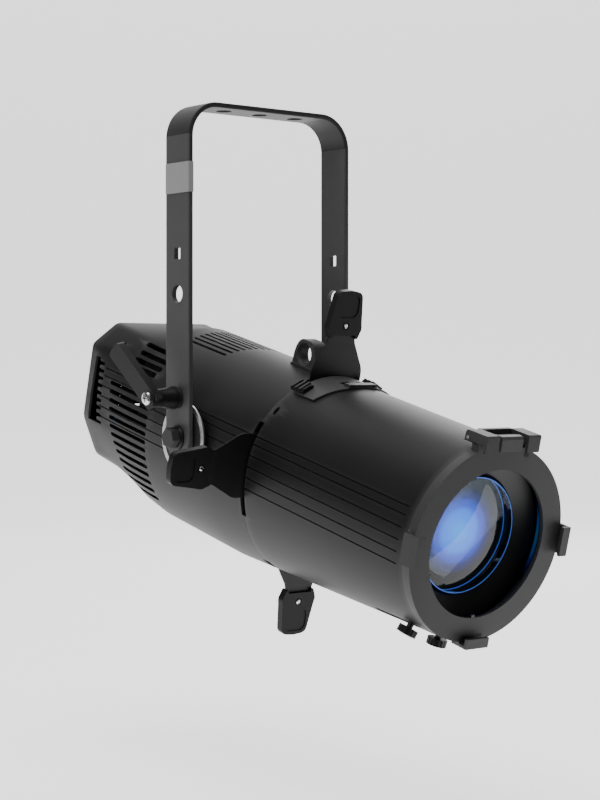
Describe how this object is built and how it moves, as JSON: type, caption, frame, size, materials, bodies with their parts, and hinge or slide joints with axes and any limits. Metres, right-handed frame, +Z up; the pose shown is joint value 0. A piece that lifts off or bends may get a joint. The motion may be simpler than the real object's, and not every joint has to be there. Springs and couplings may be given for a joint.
{
  "type": "ellipsoidal spotlight",
  "caption": "LED ellipsoidal spotlight on a tilting yoke, with sliding framing shutters, zoom and focus lens carriages, colour-frame holder and safety eye.",
  "frame": {"origin": "centre of the yoke's middle hanging hole, on the top outer face of the yoke", "axes": "+Z up; the lens faces -Y; +X across the yoke, to the left of someone facing the lens's beam direction"},
  "size_m": [0.311, 0.5049, 0.4674],
  "materials": {
    "strap_black": "satin black powder coat on a bent flat strap",
    "label_grey": "pale grey label film",
    "zinc_steel": "zinc-plated steel",
    "bright_steel": "bright plated steel",
    "black_bolt": "black-oxide steel",
    "moulded_black": "moulded black nylon, fine grain",
    "grip_black": "moulded black grip, fine grain",
    "cast_black": "satin black powder coat on die-cast aluminium",
    "blade_black": "black heat-resistant steel",
    "connector_blue": "blue locking connector",
    "connector_grey": "grey locking connector",
    "aluminium": "bare aluminium",
    "display_glass": "gloss dark display window",
    "board_green": "solder-resist green",
    "led_emitter": "blue LED array",
    "lens_glass": "coated optical glass"
  },
  "bodies": {
    "yoke": {"yoke": "strap_black", "yoke_label": "label_grey", "clamp_jaw": "zinc_steel"},
    "tilt_lever": {"tilt_lever": "moulded_black", "lever_collar": "zinc_steel", "lever_screw": "bright_steel", "clamp_stud": "zinc_steel"},
    "housing": {"rear_housing": "cast_black", "lens_barrel": "cast_black", "rear_panel": "moulded_black", "power_inlet": "connector_blue", "power_outlet": "connector_grey", "data_in": "aluminium", "data_out": "aluminium", "display": "display_glass", "fan_frame": "moulded_black", "heat_sink": "aluminium", "led_board": "board_green", "led_array": "led_emitter", "light_pipe": "aluminium", "bulkhead": "zinc_steel", "driver_board": "board_green", "condenser_lens": "lens_glass", "gate_plate_rear": "zinc_steel", "gate_plate_front": "zinc_steel", "safety_eye": "cast_black", "accessory_cover": "cast_black", "cover_clip_left": "moulded_black", "cover_clip_right": "moulded_black", "tilt_disc_left": "bright_steel", "tilt_disc_right": "bright_steel", "pivot_bolt_left": "black_bolt", "pivot_bolt_right": "black_bolt", "front_ring": "cast_black", "gate_pin": "zinc_steel"},
    "fan_rotor": {"fan_rotor": "moulded_black"},
    "zoom_carriage": {"zoom_carriage": "moulded_black", "zoom_lens": "lens_glass", "zoom_knob": "moulded_black"},
    "focus_carriage": {"focus_carriage": "moulded_black", "focus_lens": "lens_glass", "focus_knob": "moulded_black"},
    "frame_gate": {"frame_gate": "moulded_black"},
    "frame_latch": {"frame_latch": "blade_black"},
    "shutter_right": {"shutter_blade_right": "blade_black", "shutter_grip_right": "grip_black", "shutter_screw_right": "bright_steel"},
    "shutter_top": {"shutter_blade_top": "blade_black", "shutter_grip_top": "grip_black", "shutter_screw_top": "bright_steel"},
    "shutter_left": {"shutter_blade_left": "blade_black", "shutter_grip_left": "grip_black", "shutter_screw_left": "bright_steel"},
    "shutter_bottom": {"shutter_blade_bottom": "blade_black", "shutter_grip_bottom": "grip_black", "shutter_screw_bottom": "bright_steel"},
    "menu_button_1": {"menu_button_1": "moulded_black"},
    "menu_button_2": {"menu_button_2": "moulded_black"},
    "menu_button_3": {"menu_button_3": "moulded_black"},
    "menu_button_4": {"menu_button_4": "moulded_black"}
  },
  "joints": [
    {"name": "tilt", "type": "hinge", "parent": "yoke", "child": "housing", "pos_m": [0, 0, -0.291], "axis": [1, 0, 0], "range_deg": [-65, 90]},
    {"name": "tilt_lock", "type": "hinge", "parent": "yoke", "child": "tilt_lever", "pos_m": [-0.09, 0, -0.2567], "axis": [1, 0, 0], "range_deg": [-50, 40]},
    {"name": "fan_spin", "type": "hinge", "parent": "housing", "child": "fan_rotor", "pos_m": [0, 0.14449, -0.2587], "axis": [0, -0.9697, -0.2445], "continuous": true},
    {"name": "zoom", "type": "slide", "parent": "housing", "child": "zoom_carriage", "axis": [0, -0.9697, -0.2445], "range_m": [-0.034, 0.003]},
    {"name": "focus", "type": "slide", "parent": "housing", "child": "focus_carriage", "axis": [0, -0.9697, -0.2445], "range_m": [-0.028, 0.002]},
    {"name": "frame_gate_hinge", "type": "hinge", "parent": "housing", "child": "frame_gate", "pos_m": [0, -0.29579, -0.28358], "axis": [-1, 0, 0], "range_deg": [0, 90]},
    {"name": "frame_latch_hinge", "type": "hinge", "parent": "frame_gate", "child": "frame_latch", "pos_m": [0, -0.31252, -0.28677], "axis": [-1, 0, 0], "range_deg": [0, 12], "stiffness_Nm_per_rad": 0.05},
    {"name": "shutter_right_slide", "type": "slide", "parent": "housing", "child": "shutter_right", "axis": [-1, 0, 0], "range_m": [0, 0.031]},
    {"name": "shutter_top_slide", "type": "slide", "parent": "housing", "child": "shutter_top", "axis": [0, 0.2445, -0.9697], "range_m": [0, 0.031]},
    {"name": "shutter_left_slide", "type": "slide", "parent": "housing", "child": "shutter_left", "axis": [1, 0, 0], "range_m": [0, 0.031]},
    {"name": "shutter_bottom_slide", "type": "slide", "parent": "housing", "child": "shutter_bottom", "axis": [0, -0.2445, 0.9697], "range_m": [0, 0.031]},
    {"name": "menu_button_1_press", "type": "slide", "parent": "housing", "child": "menu_button_1", "axis": [0, -0.9697, -0.2445], "range_m": [0, 0.0012], "stiffness_N_per_m": 300},
    {"name": "menu_button_2_press", "type": "slide", "parent": "housing", "child": "menu_button_2", "axis": [0, -0.9697, -0.2445], "range_m": [0, 0.0012], "stiffness_N_per_m": 300},
    {"name": "menu_button_3_press", "type": "slide", "parent": "housing", "child": "menu_button_3", "axis": [0, -0.9697, -0.2445], "range_m": [0, 0.0012], "stiffness_N_per_m": 300},
    {"name": "menu_button_4_press", "type": "slide", "parent": "housing", "child": "menu_button_4", "axis": [0, -0.9697, -0.2445], "range_m": [0, 0.0012], "stiffness_N_per_m": 300}
  ]
}
